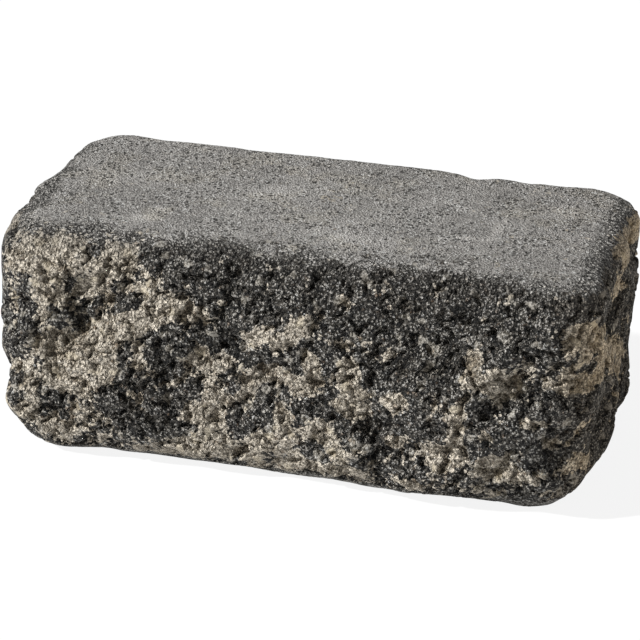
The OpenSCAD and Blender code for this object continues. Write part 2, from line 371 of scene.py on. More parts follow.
def marks_field(marks: Sequence[Mark], places: np.ndarray, way: np.ndarray, sharp: float) -> np.ndarray:
    """Sum of listed marks.

    Each mark is its weight times exp(-sharp d^2), where d is the distance from its middle in
    half sizes along its own tilted axes. It fades where the side turns away, and on the top
    with the height.

    Args:
        marks: The marks to sum.
        places: Points in millimetres.
        way: Level direction that the side faces at each point.
        sharp: How fast a mark fades with distance.

    Returns:
        The sum at each point.
    """
    total = np.zeros(places.shape[:-1], np.float32)
    for mark in marks:
        if mark.side is Side.TOP:
            along, up = places[..., 0] - mark.along, places[..., 1] - mark.up
            facing = (places[..., 2] - TOP_BAND) / TOP_BAND_DEPTH
        elif mark.side is Side.FRONT:
            along, up, facing = places[..., 0] - mark.along, places[..., 2] - mark.up, -way[..., 1]
        else:
            along, up, facing = places[..., 1] - mark.along, places[..., 2] - mark.up, way[..., 0]
        c, s = math.cos(math.radians(mark.tilt)), math.sin(math.radians(mark.tilt))
        a = (along * c + up * s) / mark.half_long
        b = (up * c - along * s) / mark.half_high
        total += mark.weight * np.exp(-sharp * (a * a + b * b)) * rise(facing, *FACING)
    return total


# ---------------------------------------------------------------- the block's surface


@dataclass(frozen=True)
class Core:
    """Upright rectangle inside the block that its sides are measured out from, in millimetres."""

    half_x: float
    half_y: float
    reach: float  # nominal way out from the core to the side

    @property
    def long_way(self) -> float:
        """Way along a long side, from one corner's middle to the next."""
        return 2 * self.half_x + math.pi / 2 * self.reach

    @property
    def short_way(self) -> float:
        """Way along a short side, from one corner's middle to the next."""
        return 2 * self.half_y + math.pi / 2 * self.reach

    def feet(self, way_round: np.ndarray) -> Tuple[np.ndarray, np.ndarray]:
        """Points of the core, and directions out of it, at distances round it.

        The way starts at the middle of the front left corner and runs anticlockwise seen from
        above. Along a straight run the direction stays square to it, and round a corner the
        core's corner stays put while the direction turns by distance over reach.

        Args:
            way_round: Distances round the core in millimetres.

        Returns:
            Points and directions, each as an array that ends in 2.
        """
        eighth = math.pi / 4 * self.reach
        whole = 2 * (self.long_way + self.short_way)
        s = np.mod(way_round, whole)
        point = np.zeros(s.shape + (2,))
        turn = np.zeros(s.shape)
        start = 0.0
        corners = ((-1, -1), (1, -1), (1, 1), (-1, 1))
        for number, run in enumerate((self.long_way, self.short_way, self.long_way, self.short_way)):
            inside = (s >= start) & (s <= start + run)
            t = s - start
            middle = -math.pi / 2 + number * math.pi / 2
            before, after = np.clip(t - eighth, None, 0.0), np.clip(t - (run - eighth), 0.0, None)
            share = np.clip((t - eighth) / (run - 2 * eighth), 0.0, 1.0)
            a = np.array(corners[number]) * (self.half_x, self.half_y)
            b = np.array(corners[(number + 1) % 4]) * (self.half_x, self.half_y)
            here = a + (b - a) * share[..., None]
            point = np.where(inside[..., None], here, point)
            turn = np.where(inside, middle + (before + after) / self.reach, turn)
            start += run
        return point, np.stack([np.cos(turn), np.sin(turn)], -1)

    def way_round(self, points: np.ndarray) -> Tuple[np.ndarray, np.ndarray]:
        """Distance round the core, and out of it, of level points.

        Args:
            points: Points as an array that ends in 2.

        Returns:
            Distances round, in step with feet(), and distances out.
        """
        core = np.clip(points, (-self.half_x, -self.half_y), (self.half_x, self.half_y))
        out = points - core
        turn = np.arctan2(out[..., 1], out[..., 0])
        number = np.mod(np.round((turn + math.pi / 2) / (math.pi / 2)), 4).astype(int)
        middle = -math.pi / 2 + number * math.pi / 2
        bent = np.mod(turn - middle + math.pi, 2 * math.pi) - math.pi
        eighth = math.pi / 4 * self.reach
        east, north = core[..., 0], core[..., 1]
        along = np.choose(
            number, [east + self.half_x, north + self.half_y, self.half_x - east, self.half_y - north]
        )
        half_round = self.long_way + self.short_way
        starts = np.array([0, self.long_way, half_round, half_round + self.long_way])
        return starts[number] + eighth + along + bent * self.reach, np.hypot(out[..., 0], out[..., 1])


@dataclass
class FaceGrid:
    """One face of the skin: a grid of points, and what its concrete is like at each."""

    name: str
    points: np.ndarray  # millimetres, shape (rows, columns, 3), turning anticlockwise from outside
    marks: Dict[str, np.ndarray]  # numbers from 0 to 1 that the material reads


@dataclass
class BlockSkin:
    """The skin of the block, read from the rings of the CAD solid and roughened.

    All sizes are in millimetres, apart from the counts of cells.
    """

    long_cells: int = 440  # cells along the front and the back
    short_cells: int = 205  # cells along either end
    rows: int = 215  # cells from the bed up to the top
    core_inset: float = 52.0  # how far inside the box the core lies
    ring_corners: int = 300  # a level with more corners of the mesh than this is a ring
    ring_steps: int = 4096  # even steps that a ring is drawn on before it is smoothed
    smoothing: float = 1.6  # how far the facets of the solid are smoothed, along a ring
    cap_blend: int = 5  # cells over which a flat's way out turns upright
    seed: int = 41
    drift_size: float = 6.0  # the lumps, stones and hollows are warped by a field of this size
    drift_reach: float = 2.2
    lump_height: float = 6.6
    lump_size: float = 12.0
    lump_askew: Tuple[float, float] = (37, 52)  # turn and tip of the lattice, in degrees
    knob_height: float = 6.6
    knob_size: float = 6.5
    knob_askew: Tuple[float, float] = (61, 33)
    sunk: float = 2.8  # how far the middle of the rough relief is sunk under the solid
    worn_height: float = 0.7  # height that tumbling has left on the highest lumps
    stone_size: float = 4.2
    stone_proud: float = 2.2  # how much the heights of the stones differ
    stone_dome: float = 0.80  # how far a stone's middle stands over its edge
    grit_size: float = 1.9
    grit_proud: float = 0.8
    grit_dome: float = 0.45
    dome_reach: float = 0.7  # where a dome ends, in lattice spacings
    hollow_share: float = 0.85  # how much of a hollow's depth is kept
    hollow_drift: float = 4.0  # how far the outline of a hollow wanders, over the drift
    pore_size: float = 4.4  # spacing of the pores of the moulded skin
    pore_depth: float = 0.7
    pore_drift: float = 1.2
    pore_squash: Tuple[float, float, float] = (0.62, 1.0, 1.0)  # under 1 draws the pores out
    poreless: float = 0.3  # share of the cells that have no pore
    swell_size: float = 18.0  # faint waves of the moulded skin
    swell_height: float = 0.35
    skin_grain: float = 0.14
    arris_bead: float = 2.4  # how far the top arris of the right end stands out
    flat_half_x: float = 143.0  # half the length and half the depth, less the worn arrises
    flat_half_y: float = 71.0
    split_size: float = 12.0  # the line between moulded and split wanders by such a field
    split_wander: float = 6.0
    front_lift: float = 1.8  # how much higher that line lies on the front
    left_drop: float = 2.0  # how much lower it lies elsewhere
    right_drop: float = 3.0
    back_drop: float = 0.8
    blotch_size: float = 9.0  # the outlines of the blotches wander by such a field
    blotch_drift: float = 5.5
    streak_size: float = 30.0  # blotches of the sides that aren't placed by hand
    streak_squash: Tuple[float, float, float] = (0.6, 0.6, 1.25)
    fleck_size: float = 8.0
    fleck_weight: float = 1.1
    fray_size: float = 11.0
    fray_wander: float = 12.0
    fray_width: float = 17.0

    def read_rings(self, node: bpy.types.Object) -> Tuple[Core, np.ndarray, np.ndarray]:
        """Reads the rings of the solid back from its mesh.

        Corners of the mesh that share a height make a ring. Each is carried to the core's own
        measure, and its way out is drawn on an even spacing round the core. It is smoothed in
        its Fourier waves, each weighed by exp(-(pitch * smoothing)^2 / 2).

        Args:
            node: The CAD solid.

        Returns:
            The core, the heights of the rings, and the way out of each ring at every column.
        """
        flat = np.empty(len(node.data.vertices) * 3, np.float32)
        node.data.vertices.foreach_get("co", flat)
        corners = flat.reshape(-1, 3).astype(np.float64) / MM
        half = np.abs(corners).max(0)
        core = Core(float(half[0]) - self.core_inset, float(half[1]) - self.core_inset, self.core_inset)
        levels, which, counts = np.unique(np.round(corners[:, 2], 1), return_inverse=True, return_counts=True)
        kept = [n for n in range(len(levels)) if counts[n] > self.ring_corners]
        whole = 2 * (core.long_way + core.short_way)
        fine = np.linspace(0, whole, self.ring_steps, endpoint=False)
        columns = self.columns(core)
        outs: List[np.ndarray] = []
        for n in kept:
            round_, out = core.way_round(corners[which == n][:, :2])
            order = np.argsort(round_)
            round_, out = round_[order], out[order]
            drawn = np.interp(fine, round_, out, period=whole)
            waves = np.fft.rfft(drawn)
            pitch = 2 * math.pi * np.arange(len(waves)) / whole
            drawn = np.fft.irfft(waves * np.exp(-0.5 * (pitch * self.smoothing) ** 2), len(fine))
            outs.append(np.interp(columns, fine, drawn, period=whole))
        return core, levels[kept], np.array(outs)

    def columns(self, core: Core) -> np.ndarray:
        """Distances round the core of every column of the grid, the last one short of the first.

        Args:
            core: The core of the block.

        Returns:
            The distances in millimetres.
        """
        runs = (core.long_way, core.short_way, core.long_way, core.short_way)
        cells = (self.long_cells, self.short_cells, self.long_cells, self.short_cells)
        starts = np.concatenate([[0], np.cumsum(runs)])
        return np.concatenate([starts[n] + runs[n] * np.arange(cells[n]) / cells[n] for n in range(4)])

    def side_points(self, core: Core, heights: np.ndarray, outs: np.ndarray) -> Tuple[np.ndarray, np.ndarray]:
        """Points of the four sides on an even grid, smooth from ring to ring.

        Rows are evenly spaced along the mean profile. Between two rings the height and the way
        out follow the Catmull-Rom cubic through the four nearest rings.

        Args:
            core: The core of the block.
            heights: Heights of the rings.
            outs: Way out of each ring at every column.

        Returns:
            Points, shape (rows + 1, columns, 3), and the level way out of every column.
        """
        mean = outs.mean(1)
        along = np.concatenate([[0], np.cumsum(np.hypot(np.diff(heights), np.diff(mean)))])
        at = np.interp(np.linspace(0, along[-1], self.rows + 1), along, np.arange(len(heights)))
        k = np.clip(np.floor(at).astype(int), 0, len(heights) - 2)
        t = at - k
        pull = np.stack(
            [
                (-t + 2 * t**2 - t**3) / 2,
                (2 - 5 * t**2 + 3 * t**3) / 2,
                (t + 4 * t**2 - 3 * t**3) / 2,
                (-(t**2) + t**3) / 2,
            ],
            -1,
        )
        near = np.clip(k[:, None] + np.arange(-1, 3), 0, len(heights) - 1)
        out = np.einsum("rk,rkc->rc", pull, outs[near])
        high = np.einsum("rk,rk->r", pull, heights[near])
        high[0], high[-1] = heights[0], heights[-1]
        feet, way = core.feet(self.columns(core))
        level = feet[None] + way[None] * out[..., None]
        high = np.broadcast_to(high[:, None, None], level.shape[:2] + (1,))
        return np.concatenate([level, high], -1), way

    def split_share(self, places: np.ndarray, top: float) -> np.ndarray:
        """How far each point is split rather than moulded, from 0 to 1.

        The top changes a little below its flat, at a depth that wanders by a rough field: less
        deep on the front and deeper on both ends and the back. The bed changes just above its
        flat, and a term that grows with the way in keeps the flat itself whole.

        Args:
            places: Points in millimetres.
            top: Height of the top.

        Returns:
            The share at each point.
        """
        x, y, z = np.moveaxis(places, -1, 0)
        wander = self.split_wander * (rough_field(places, self.split_size, self.seed + Salt.SPLIT, 3) - 0.5)
        from_top = top - z + wander + self.front_lift * rise(-y, 20.0, 60.0)
        from_top = from_top - self.left_drop * rise(-x, 20.0, 140.0) - self.right_drop * rise(x, 120.0, 142.0)
        from_top = from_top - self.back_drop * rise(y, 50.0, 66.0)
        inward = np.minimum(self.flat_half_x - np.abs(x), self.flat_half_y - np.abs(y))
        from_bed = z + wander + 1.0 - 6.0 * rise(inward + wander, 4.0, 10.0)
        return rise(from_top, 0.2, 7.5) * rise(from_bed, 0.0, 2.4)

    def relief(
        self, places: np.ndarray, way: np.ndarray, split: np.ndarray, top: float
    ) -> Tuple[np.ndarray, Dict[str, np.ndarray]]:
        """Height of the fine relief over the solid, and the marks that go with it.

        The split part sums folds of lumps and knobs, |2n - 1| of a rough field n, stones as
        domes that stand at different heights, and grit as smaller domes, less the listed
        hollows. What rises over the solid is worn to h (1 - exp(-r / h)). The moulded part is
        all but smooth, with round pores.

        Args:
            places: Points in millimetres.
            way: Level way out at each point.
            split: How far each point is split.
            top: Height of the top.

        Returns:
            The relief in millimetres, and named marks from 0 to 1.
        """
        x, _, z = np.moveaxis(places, -1, 0)
        drift = drift_field(places, self.drift_size, self.seed + Salt.DRIFT)
        moved = places + self.drift_reach * drift
        lump = rough_field(askew(moved, *self.lump_askew), self.lump_size, self.seed + Salt.LUMP, 3)
        knob = rough_field(askew(moved, *self.knob_askew), self.knob_size, self.seed + Salt.KNOB, 2)
        folded = self.lump_height * np.abs(2.0 * lump - 1.0) + self.knob_height * np.abs(2.0 * knob - 1.0)
        stones = scatter_grains(moved, self.stone_size, self.seed + Salt.STONE)
        grit = scatter_grains(places, self.grit_size, self.seed + Salt.GRIT)
        stone = (stones.lift - 0.5) * self.stone_proud + self.stone_dome * self.dome(stones)
        small = (grit.lift - 0.5) * self.grit_proud + self.grit_dome * self.dome(grit)
        hollow = self.hollow_share * marks_field(HOLLOWS, places + self.hollow_drift * drift, way, 1.0)
        rough = folded + stone + small - hollow - self.sunk
        rough = np.where(rough > 0, self.worn_height * (1.0 - np.exp(-rough / self.worn_height)), rough)

        squashed = (places + self.pore_drift * drift) * np.array(self.pore_squash)
        pores = scatter_grains(squashed, self.pore_size, self.seed + Salt.PORE)
        hole = 1.0 - rise(pores.near * self.pore_size, 0.25, 0.75 + 0.6 * pores.lift)
        pore = np.where(pores.tone > self.poreless, hole, 0.0)
        swell = rough_field(places, self.swell_size, self.seed + Salt.SWELL, 2) - 0.5
        smooth = self.swell_height * swell + self.skin_grain * (grit.lift - 0.5) - self.pore_depth * pore

        dusty = top - z - 5.0 * rise(-x, 128.0, 142.0)
        marks = {
            "tone": stones.tone,
            "grit": grit.tone,
            "pore": pore * (1 - split),
            # how low the split relief lies, which the material darkens as painted shade in the hollows
            "deep": np.clip(0.4 - rough / 4.0, 0, 1) * split,
            "pale": np.clip(marks_field(PALE, places + 3.0 * drift, way, 1.0), 0, 1),
            "worn": 1.0 - rise(dusty, 1.0, 12.0),
        }
        mean = (rough * split).sum() / max(split.sum(), 1.0)
        log.info("mean relief of the split part: %.2f mm", float(mean))
        return split * rough + (1 - split) * smooth, marks

    def dome(self, grains: Grains) -> np.ndarray:
        """Round tops of grains: 1 - d^2, where d is the distance over the reach of a dome."""
        return np.clip(1.0 - (grains.near / self.dome_reach) ** 2, 0, 1)

    def cream_share(self, places: np.ndarray, way: np.ndarray) -> np.ndarray:
        """How far the cement is cream rather than charcoal, before the grains break it up.

        On the front and the right end the blotches of cream, less those of charcoal, are listed
        one by one, and their outlines wander by rough fields. The other sides have blotches from
        a rough field alone, drawn out level.

        Args:
            places: Points in millimetres.
            way: Level way out at each point.

        Returns:
            The share, 0.5 being the edge of a blotch.
        """
        x, y, _ = np.moveaxis(places, -1, 0)
        drift = drift_field(places, self.blotch_size, self.seed + Salt.BLOTCH, step=5, octaves=3)
        moved = places + self.blotch_drift * drift
        placed = marks_field(CREAM, moved, way, 0.8) - marks_field(CHARCOAL, moved, way, 0.8)
        placed = placed + 0.36 * rise(-x, 60.0, 100.0)
        known = np.clip(rise(-way[..., 1], *FACING) + rise(way[..., 0], *FACING), 0, 1)
        streaks = places * np.array(self.streak_squash)
        wild = 2.6 * (rough_field(streaks, self.streak_size, self.seed + Salt.STREAK, 3) - 0.5) + 0.42
        wild = wild + 0.15 * rise(-y, 20.0, 60.0) * rise(-way[..., 0], 0.0, 0.7)
        fine = self.fleck_weight * (rough_field(places, self.fleck_size, self.seed + Salt.FLECK, 3) - 0.5)
        return np.clip(known * (placed * 0.8 + 0.08) + (1 - known) * wild + fine, 0, 1)

    def frayed_share(self, places: np.ndarray) -> np.ndarray:
        """How far the moulded skin has lost its fines, from 0 on the flats to 1 along the arris.

        It falls off with the way in from the sides, more slowly from the front, and wanders by
        a rough field.

        Args:
            places: Points in millimetres.

        Returns:
            The share at each point.
        """
        x, y, _ = np.moveaxis(places, -1, 0)
        in_front = 0.6 * (self.flat_half_y + y) - 1.0
        inward = np.minimum(self.flat_half_x - np.abs(x), np.minimum(in_front, self.flat_half_y - y))
        wander = self.fray_wander * (rough_field(places, self.fray_size, self.seed + Salt.FRAY, 3) - 0.5)
        return 1.0 - rise(inward + wander, 1.0, self.fray_width)

    def dress(self, name: str, points: np.ndarray, out: np.ndarray, way: np.ndarray, top: float) -> FaceGrid:
        """Roughens one grid of points and keeps its marks.

        A bead follows the top arris of the right end, and nothing goes under the bed.

        Args:
            name: Name of the face.
            points: Smooth points of the face.
            out: Direction that each point is raised in.
            way: Level way out at each point.
            top: Height of the top.

        Returns:
            The finished grid.
        """
        split = self.split_share(points, top)
        height, marks = self.relief(points, way, split, top)
        marks["split"] = split
        marks["cream"] = self.cream_share(points, way)
        # how far a point faces the right end, which the material paints warmer and lighter as painted warm
        # light
        marks["faces_right"] = rise(way[..., 0], 0.5, 0.9)
        marks["frayed"] = self.frayed_share(points)
        down = top - points[..., 2]
        bead = self.arris_bead * marks["faces_right"] * rise(down, 0.0, 4.5) * (1 - rise(down, 5.0, 15.0))
        raised = points + out * (height + bead)[..., None]
        raised[..., 2] = np.maximum(raised[..., 2], 0.0)
        return FaceGrid(name, raised, marks)

    def cap_points(self, ring: np.ndarray) -> np.ndarray:
        """Points of a flat inside a closed ring, as a Coons patch of its four runs.

        A point is the blend of the front and back runs, plus the blend of the left and right
        runs, less the blend of the four corners.

        Args:
            ring: Points of the ring, in step with the columns.

        Returns:
            Points, shape (short_cells + 1, long_cells + 1, 3).
        """
        a, b = self.long_cells, self.short_cells
        loop = np.concatenate([ring, ring[:1]])
        near, right_run = loop[: a + 1], loop[a : a + b + 1]
        far, left_run = loop[a + b : 2 * a + b + 1][::-1], loop[2 * a + b :][::-1]
        u = np.linspace(0, 1, a + 1)[None, :, None]
        v = np.linspace(0, 1, b + 1)[:, None, None]
        runs = (1 - v) * near[None] + v * far[None] + (1 - u) * left_run[:, None] + u * right_run[:, None]
        corners = (1 - v) * ((1 - u) * near[0] + u * near[-1]) + v * ((1 - u) * far[0] + u * far[-1])
        return runs - corners

    def build(self, node: bpy.types.Object) -> List[FaceGrid]:
        """Builds the six faces of the skin, which meet edge to edge.

        The way out of a point is the cross product of its way along and its way up, tipped
        halfway to upright along the rims that the flats share.

        Args:
            node: The CAD solid.

        Returns:
            The faces.
        """
        core, heights, outs = self.read_rings(node)
        smooth, way = self.side_points(core, heights, outs)
        along = np.roll(smooth, -1, 1) - np.roll(smooth, 1, 1)
        up = np.gradient(smooth, axis=0)
        normal = np.cross(along, up)
        normal[-1] += (0, 0, np.linalg.norm(normal[-1], axis=-1).mean())
        normal[0] -= (0, 0, np.linalg.norm(normal[0], axis=-1).mean())
        normal /= np.linalg.norm(normal, axis=-1, keepdims=True)
        top = float(heights[-1])
        wide = np.broadcast_to(way[None], smooth.shape[:2] + (2,))
        skin = self.dress("sides", smooth, normal, wide, top)
        faces = self.cut_sides(skin)
        for name, row, sign in (("top_face", -1, 1.0), ("bed_face", 0, -1.0)):
            flat = self.cap_points(smooth[row])
            edge = self.cap_points(normal[row])
            r, c = np.meshgrid(np.arange(flat.shape[0]), np.arange(flat.shape[1]), indexing="ij")
            inside = np.minimum(np.minimum(r, flat.shape[0] - 1 - r), np.minimum(c, flat.shape[1] - 1 - c))
            share = rise(inside.astype(float), 0.0, self.cap_blend)[..., None]
            out = edge * (1 - share) + np.array([0, 0, sign]) * share
            out /= np.linalg.norm(out, axis=-1, keepdims=True)
            ways = self.cap_points(np.concatenate([way, np.zeros((len(way), 1))], -1))[..., :2]
            cap = self.dress(name, flat, out, ways, top)
            if sign < 0:
                cap = FaceGrid(name, cap.points[::-1], {key: mark[::-1] for key, mark in cap.marks.items()})
            faces.append(cap)
        return faces

    def cut_sides(self, skin: FaceGrid) -> List[FaceGrid]:
        """Cuts the grid of the sides into four faces that share their edge columns.

        Args:
            skin: The grid of all four sides.

        Returns:
            The faces, from the front anticlockwise.
        """
        names = ("front_face", "right_end", "back_face", "left_end")
        cells = (self.long_cells, self.short_cells, self.long_cells, self.short_cells)
        faces = []
        start = 0
        for name, count in zip(names, cells):
            pick = np.arange(start, start + count + 1) % skin.points.shape[1]
            marks = {key: mark[:, pick] for key, mark in skin.marks.items()}
            faces.append(FaceGrid(name, skin.points[:, pick], marks))
            start += count
        return faces


def make_piece(grid: FaceGrid, material: bpy.types.Material) -> bpy.types.Object:
    """Makes the mesh of one face from its grid.

    Args:
        grid: The face.
        material: Its material.

    Returns:
        The new object, at the origin.
    """
    rows, columns = grid.points.shape[:2]
    number = np.arange(rows * columns, dtype=np.int32).reshape(rows, columns)
    corners = np.stack([number[:-1, :-1], number[:-1, 1:], number[1:, 1:], number[1:, :-1]], -1).reshape(-1)
    count = len(corners) // 4
    mesh = bpy.data.meshes.new(grid.name)
    mesh.vertices.add(rows * columns)
    mesh.vertices.foreach_set("co", (grid.points * MM).astype(np.float32).reshape(-1))
    mesh.loops.add(len(corners))
    mesh.loops.foreach_set("vertex_index", corners)
    mesh.polygons.add(count)
    mesh.polygons.foreach_set("loop_start", np.arange(0, len(corners), 4, dtype=np.int32))
    mesh.update(calc_edges=True)
    mesh.polygons.foreach_set("use_smooth", np.ones(count, bool))
    for name, mark in grid.marks.items():
        layer = mesh.attributes.new(name, "FLOAT", "POINT")
        layer.data.foreach_set("value", mark.astype(np.float32).reshape(-1))
    uv = mesh.uv_layers.new(name="face")
    across = np.broadcast_to(np.linspace(0, 1, columns), (rows, columns)).reshape(-1)[corners]
    upward = np.broadcast_to(np.linspace(0, 1, rows)[:, None], (rows, columns)).reshape(-1)[corners]
    uv.data.foreach_set("uv", np.stack([across, upward], -1).astype(np.float32).reshape(-1))
    mesh.materials.append(material)
    piece = bpy.data.objects.new(grid.name, mesh)
    bpy.context.collection.objects.link(piece)
    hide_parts(NODE)
    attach(piece, "root")
    log.info("%s: %d triangles", grid.name, 2 * count)
    return piece


# ---------------------------------------------------------------- materials


Name = Union[int, str]  # number or name of a socket
Feed = Union[float, Sequence[float], "Wire"]


def math_node(operation: str, reflected: bool = False) -> Callable[["Wire", Feed], "Wire"]:
    """Makes the method of one operator.

    Args:
        operation: What the Math node works out.
        reflected: Whether the wire stands on the right of the operator.

    Returns:
        A method that adds a Math node on the wire and the other value.
    """

    def apply(wire: "Wire", other: Feed) -> "Wire":
        """Adds the Math node."""
        sides = (other, wire) if reflected else (wire, other)
        return wire.graph.add("ShaderNodeMath", {"operation": operation}, dict(enumerate(sides)))

    return apply


class Wire:
    """A shader value: one output socket, on which Python's operators add Math nodes."""

    __add__ = __radd__ = math_node("ADD")
    __sub__ = math_node("SUBTRACT")
    __rsub__ = math_node("SUBTRACT", reflected=True)
    __mul__ = __rmul__ = math_node("MULTIPLY")
    __pow__ = math_node("POWER")

    def __init__(self, graph: "Graph", socket: bpy.types.NodeSocket) -> None:
        """Wraps an output socket of a graph."""
        self.graph = graph
        self.socket = socket

    def sibling(self, output: Name) -> "Wire":
        """Another output of the same node."""
        return Wire(self.graph, self.socket.node.outputs[output])


class Graph:
    """The nodes of one material, or of the world."""

    def __init__(self, name: str, store: str = "materials") -> None:
        """Makes an empty node tree.

        Args:
            name: Name of the material or world.
            store: Where Blender keeps it.
        """
        self.owner = getattr(bpy.data, store).new(name)
        self.owner.use_nodes = True
        self.tree = self.owner.node_tree
        self.tree.nodes.clear()

    def add(self, kind: str, settings: Dict[str, object], feeds: Dict[Name, Feed], output: Name = 0) -> Wire:
        """Adds any node.

        Args:
            kind: Node type.
            settings: Properties of the node, set before its sockets.
            feeds: Values or wires of its input sockets, by name or number.
            output: Which output to return.

        Returns:
            The wire of that output.
        """
        node = self.tree.nodes.new(kind)
        for key, value in settings.items():
            setattr(node, key, value)
        for key, value in feeds.items():
            socket = node.inputs[key]
            if isinstance(value, Wire):
                self.tree.links.new(value.socket, socket)
            else:
                socket.default_value = value
        return Wire(self, node.outputs[output])

    def vector(self, operation: str, feeds: Dict[Name, Feed], output: Name = 0) -> Wire:
        """Adds one Vector Math node."""
        return self.add("ShaderNodeVectorMath", {"operation": operation}, feeds, output)

    def mark(self, name: str) -> Wire:
        """A mark that the mesh carries, from 0 to 1."""
        return self.add("ShaderNodeAttribute", {"attribute_name": name}, {}, "Fac")

    def rise(self, value: Feed, low: float, high: float) -> Wire:
        """Smooth rise from 0 at low to 1 at high."""
        feeds = {"Value": value, "From Min": low, "From Max": high}
        return self.add("ShaderNodeMapRange", {"interpolation_type": "SMOOTHSTEP"}, feeds)

    def blend(self, share: Feed, a: Feed, b: Feed, mode: str = "MIX") -> Wire:
        """Blend of two colours."""
        settings = {"data_type": "RGBA", "blend_type": mode, "clamp_factor": True}
        return self.add("ShaderNodeMix", settings, {0: share, 6: a, 7: b}, 2)

    def tint(self, share: Feed, colour: Feed, by: Feed) -> Wire:
        """A colour multiplied by another, as far as the share says."""
        return self.blend(share, colour, by, "MULTIPLY")

    def noise(self, place: Wire, size: float, detail: float = 3.0, roughness: float = 0.5) -> Wire:
        """Fractal noise whose widest waves have this size in metres."""
        feeds = {"Vector": place, "Scale": 1.0 / size, "Detail": detail, "Roughness": roughness}
        return self.add("ShaderNodeTexNoise", {}, feeds, "Fac")

    def warp(self, place: Wire, size: float, amount: float) -> Wire:
        """Places moved by coloured noise.

        Args:
            place: The places.
            size: Size of the noise in metres.
            amount: How far they move at most, in metres.

        Returns:
            The moved places.
        """
        noise = self.noise(place, size, 1.0).sibling("Color")
        drawn = self.vector("SCALE", {0: self.vector("SUBTRACT", {0: noise, 1: GREY}), "Scale": 2.0 * amount})
        return self.vector("ADD", {0: place, 1: drawn})

    def cells(self, place: Wire, size: float) -> Wire:
        """Distance to the nearest of scattered points this far apart in metres."""
        feeds = {"Vector": place, "Scale": 1.0 / size}
        return self.add("ShaderNodeTexVoronoi", {}, feeds, "Distance")

    def facet(self, place: Wire, cells: Wire) -> Wire:
        """Height of a flat facet on every cell, which leans its own way.

        It is the dot product of the way from the cell's middle with the cell's colour less grey.

        Args:
            place: The places.
            cells: The cells that they lie in.

        Returns:
            The height in metres.
        """
        away = self.vector("SUBTRACT", {0: place, 1: cells.sibling("Position")})
        lean = self.vector("SUBTRACT", {0: cells.sibling("Color"), 1: GREY})
        return self.vector("DOT_PRODUCT", {0: away, 1: lean}, "Value")

    def parts(self, colour: Wire) -> Tuple[Wire, Wire, Wire]:
        """The three parts of a colour or a vector."""
        red = self.add("ShaderNodeSeparateColor", {}, {0: colour})
        return red, red.sibling(1), red.sibling(2)

    def finish(self, colour: Wire, roughness: Wire, height: Wire, specular: float) -> bpy.types.Material:
        """Joins the surface to the output.

        Args:
            colour: Base colour.
            roughness: Roughness.
            height: Fine relief in metres.
            specular: Specular level.

        Returns:
            The material.
        """
        bump = self.add("ShaderNodeBump", {}, {"Strength": 1.0, "Distance": 1.0, "Height": height})
        feeds = {"Base Color": colour, "Roughness": roughness, "Normal": bump, "Specular IOR Level": specular}
        surface = self.add("ShaderNodeBsdfPrincipled", {}, feeds)
        self.add_output(surface)
        return self.owner

    def add_output(self, surface: Wire, kind: str = "ShaderNodeOutputMaterial") -> None:
        """Adds the output node."""
        node = self.tree.nodes.new(kind)
        self.tree.links.new(surface.socket, node.inputs["Surface"])


class Ingredients:
    """Wires that the split body and the moulded skin of the concrete are both made of."""

    def __init__(self, g: Graph, grain: float, sand: float) -> None:
        """Reads the marks of the mesh, and makes the grains, the sand and the noises.

        Args:
            g: The graph to build in.
            grain: Spacing of the grains in metres.
            sand: Spacing of the sand in metres.
        """
        self.place = g.add("ShaderNodeTexCoord", {}, {}, "Object")
        self.tone, self.grit, self.faces_right = g.mark("tone"), g.mark("grit"), g.mark("faces_right")
        loose = g.warp(self.place, 1.4 * MM, 0.45 * MM)
        self.grain = g.cells(loose, grain)
        self.red, self.green, self.blue = g.parts(self.grain.sibling("Color"))
        self.facet = g.facet(loose, self.grain)
        self.sand = g.cells(loose, sand)
        self.sand_red, self.sand_green, _ = g.parts(self.sand.sibling("Color"))
        self.fine = g.noise(self.place, 3.2 * MM, 2.0)
        self.ragged = g.noise(self.place, 1.6 * MM, 2.0, 0.6)
        # how light a grain is, from the noises and from numbers of its own
        mixed = self.ragged * 0.38 + self.red * 0.22 + self.tone * 0.08 + self.grit * 0.06
        self.shade = g.rise(mixed + self.sand_red * 0.26, 0.385, 0.565)
        # painted shade: dark gaps where the noise is low, and between one grain and the next, stand in for
        # the shadows that the bump can't cast
        between = g.rise(self.grain * 0.45 + self.sand * 0.55, 0.42, 0.51)
        self.gap = g.rise(1 - self.ragged, 0.52, 0.59) * 0.55 + between * 0.92


